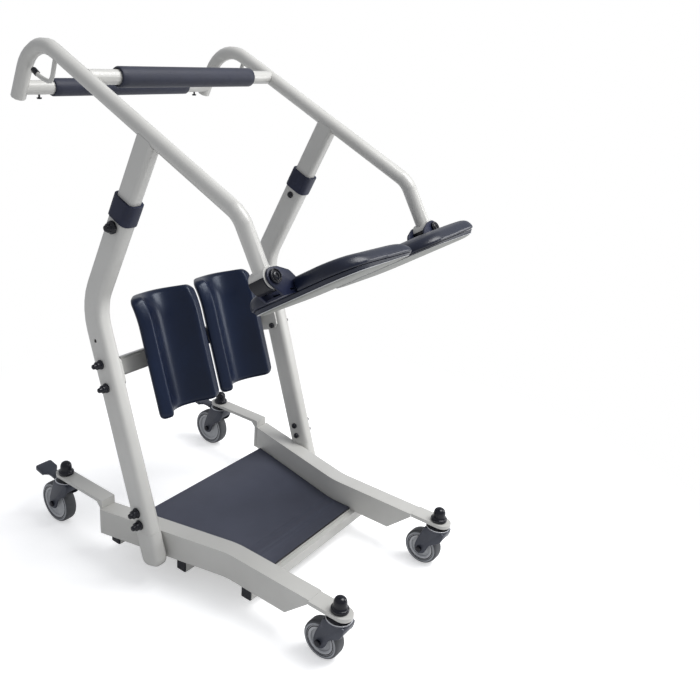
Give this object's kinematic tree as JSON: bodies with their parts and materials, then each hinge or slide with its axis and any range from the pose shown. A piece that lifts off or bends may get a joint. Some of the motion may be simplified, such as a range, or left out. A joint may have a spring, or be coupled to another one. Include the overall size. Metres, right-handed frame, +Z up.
{
  "type": "stand-up transfer chair",
  "caption": "Stand-up transfer chair: wheeled splayed base with foot tray, bent uprights, telescopic rails with hand bars, knee pads and swing-up seat halves.",
  "frame": {"origin": "on the floor under the middle of the chair's footprint", "axes": "+Z up; the user faces -Y, towards the knee pads and front hand bar; +X is the user's left"},
  "size_m": [0.6156, 0.8634, 1.1032],
  "materials": {
    "black_plastic": "satin",
    "caster_housing": "satin",
    "collar_plastic": "satin",
    "frame_paint": "satin",
    "grip_foam": "matte",
    "mat_rubber": "matte",
    "pad_skin": "satin",
    "seat_base": "matte",
    "seat_skin": "satin",
    "tyre_rubber": "matte",
    "wheel_hub": "matte"
  },
  "bodies": {
    "base": {"front_cross_tube": "frame_paint", "middle_cross_tube": "frame_paint", "rear_cross_tube": "frame_paint", "foot_tray": "frame_paint", "foot_mat": "mat_rubber", "left_leg": "frame_paint", "right_leg": "frame_paint", "left_leg_stub": "frame_paint", "right_leg_stub": "frame_paint", "left_upright": "frame_paint", "right_upright": "frame_paint", "left_collar": "collar_plastic", "right_collar": "collar_plastic", "left_front_arm": "frame_paint", "right_front_arm": "frame_paint", "left_rear_plate": "frame_paint", "right_rear_plate": "frame_paint", "left_front_caster_head": "black_plastic", "right_front_caster_head": "black_plastic", "left_rear_caster_head": "black_plastic", "right_rear_caster_head": "black_plastic"},
    "upper_frame": {"front_hand_bar": "frame_paint", "rear_hand_bar": "frame_paint", "front_grip": "grip_foam", "rear_grip": "grip_foam", "left_side_rail": "frame_paint", "right_side_rail": "frame_paint", "left_height_tube": "frame_paint", "right_height_tube": "frame_paint", "left_bag_hook": "frame_paint", "right_bag_hook": "frame_paint", "left_seat_hinge_pin": "black_plastic", "right_seat_hinge_pin": "black_plastic"},
    "knee_support": {"knee_bar": "frame_paint", "left_knee_pad": "pad_skin", "right_knee_pad": "pad_skin", "left_knee_pad_nut": "black_plastic", "right_knee_pad_nut": "black_plastic"},
    "left_clamp": {"left_clamp_knob": "black_plastic"},
    "left_seat": {"left_seat_plate": "seat_base", "left_seat_bracket": "collar_plastic", "left_seat_cushion": "seat_skin"},
    "left_front_swivel": {"left_front_fork": "caster_housing"},
    "left_front_wheel": {"left_front_wheel_hub": "wheel_hub", "left_front_tyre": "tyre_rubber"},
    "left_front_pedal": {"left_front_brake_pedal": "caster_housing"},
    "left_rear_swivel": {"left_rear_fork": "caster_housing"},
    "left_rear_wheel": {"left_rear_wheel_hub": "wheel_hub", "left_rear_tyre": "tyre_rubber"},
    "right_clamp": {"right_clamp_knob": "black_plastic"},
    "right_seat": {"right_seat_plate": "seat_base", "right_seat_bracket": "collar_plastic", "right_seat_cushion": "seat_skin"},
    "right_front_swivel": {"right_front_fork": "caster_housing"},
    "right_front_wheel": {"right_front_wheel_hub": "wheel_hub", "right_front_tyre": "tyre_rubber"},
    "right_front_pedal": {"right_front_brake_pedal": "caster_housing"},
    "right_rear_swivel": {"right_rear_fork": "caster_housing"},
    "right_rear_wheel": {"right_rear_wheel_hub": "wheel_hub", "right_rear_tyre": "tyre_rubber"}
  },
  "joints": [
    {"name": "height_slide", "type": "slide", "parent": "base", "child": "upper_frame", "axis": [0, 0.4431, 0.8965], "range_m": [-0.04, 0.06]},
    {"name": "knee_support_slide", "type": "slide", "parent": "base", "child": "knee_support", "axis": [0, -0.3173, 0.9483], "range_m": [0, 0.05]},
    {"name": "left_clamp_turn", "type": "hinge", "parent": "base", "child": "left_clamp", "pos_m": [0.271, -0.1045, 0.77109], "axis": [1, 0, 0], "range_deg": [0, 360]},
    {"name": "left_seat_hinge", "type": "hinge", "parent": "upper_frame", "child": "left_seat", "pos_m": [0.271, 0.25578, 0.74196], "axis": [0, 0.848, 0.5299], "range_deg": [0, 75]},
    {"name": "left_front_swivel_turn", "type": "hinge", "parent": "base", "child": "left_front_swivel", "pos_m": [0.265, -0.329, 0.1214], "axis": [0, 0, 1], "continuous": true},
    {"name": "left_front_wheel_roll", "type": "hinge", "parent": "left_front_swivel", "child": "left_front_wheel", "pos_m": [0.265, -0.363, 0.05], "axis": [1, 0, 0], "continuous": true},
    {"name": "left_front_pedal_press", "type": "hinge", "parent": "left_front_swivel", "child": "left_front_pedal", "pos_m": [0.265, -0.362, 0.1159], "axis": [1, 0, 0], "range_deg": [0, 12]},
    {"name": "left_rear_swivel_turn", "type": "hinge", "parent": "base", "child": "left_rear_swivel", "pos_m": [0.195, 0.405, 0.1024], "axis": [0, 0, 1], "continuous": true},
    {"name": "left_rear_wheel_roll", "type": "hinge", "parent": "left_rear_swivel", "child": "left_rear_wheel", "pos_m": [0.195, 0.375, 0.04], "axis": [1, 0, 0], "continuous": true},
    {"name": "right_clamp_turn", "type": "hinge", "parent": "base", "child": "right_clamp", "pos_m": [-0.271, -0.1045, 0.77109], "axis": [-1, 0, 0], "range_deg": [0, 360]},
    {"name": "right_seat_hinge", "type": "hinge", "parent": "upper_frame", "child": "right_seat", "pos_m": [-0.271, 0.25578, 0.74196], "axis": [0, -0.848, -0.5299], "range_deg": [0, 75]},
    {"name": "right_front_swivel_turn", "type": "hinge", "parent": "base", "child": "right_front_swivel", "pos_m": [-0.265, -0.329, 0.1214], "axis": [0, 0, 1], "continuous": true},
    {"name": "right_front_wheel_roll", "type": "hinge", "parent": "right_front_swivel", "child": "right_front_wheel", "pos_m": [-0.265, -0.363, 0.05], "axis": [1, 0, 0], "continuous": true},
    {"name": "right_front_pedal_press", "type": "hinge", "parent": "right_front_swivel", "child": "right_front_pedal", "pos_m": [-0.265, -0.362, 0.1159], "axis": [1, 0, 0], "range_deg": [0, 12]},
    {"name": "right_rear_swivel_turn", "type": "hinge", "parent": "base", "child": "right_rear_swivel", "pos_m": [-0.195, 0.405, 0.1024], "axis": [0, 0, 1], "continuous": true},
    {"name": "right_rear_wheel_roll", "type": "hinge", "parent": "right_rear_swivel", "child": "right_rear_wheel", "pos_m": [-0.195, 0.375, 0.04], "axis": [1, 0, 0], "continuous": true}
  ]
}
